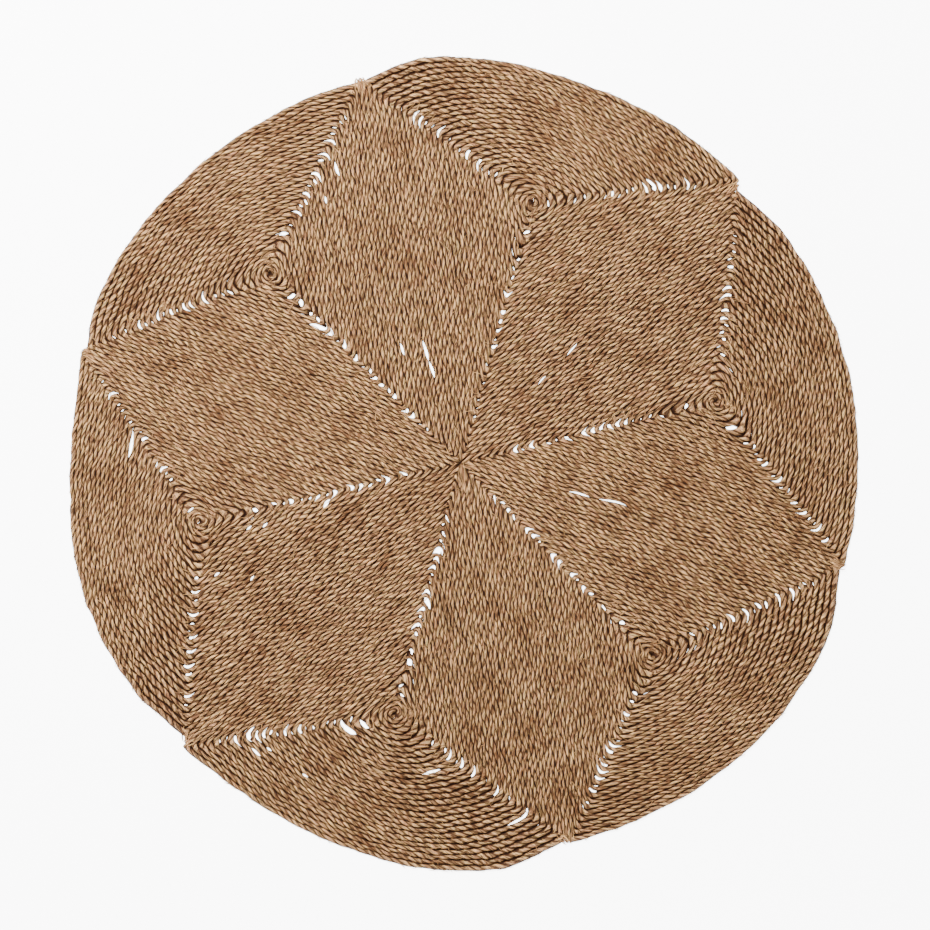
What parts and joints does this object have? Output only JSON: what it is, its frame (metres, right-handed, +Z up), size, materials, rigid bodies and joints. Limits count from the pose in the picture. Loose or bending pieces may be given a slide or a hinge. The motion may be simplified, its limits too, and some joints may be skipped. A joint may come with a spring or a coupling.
{
  "type": "round rug",
  "caption": "Flat round rug of wound straw cord: wedge-shaped panels, each coiled round its own swirl, are sewn edge to edge.",
  "frame": {"origin": "under the middle of the rug's bounding box, on the surface that it lies on", "axes": "+Z up out of the pile side, +X to the right and +Y to the top of the picture, which looks straight down"},
  "size_m": [1.4804, 1.525, 0.0085],
  "materials": {
    "straw_cord": "dry twisted seagrass straw, light brown with greenish, pinkish and dark stems, dull with a faint gloss on each stem"
  },
  "bodies": {
    "root": {"panel_1": "straw_cord", "panel_2": "straw_cord", "panel_3": "straw_cord", "panel_4": "straw_cord", "panel_5": "straw_cord", "panel_6": "straw_cord"}
  },
  "joints": []
}
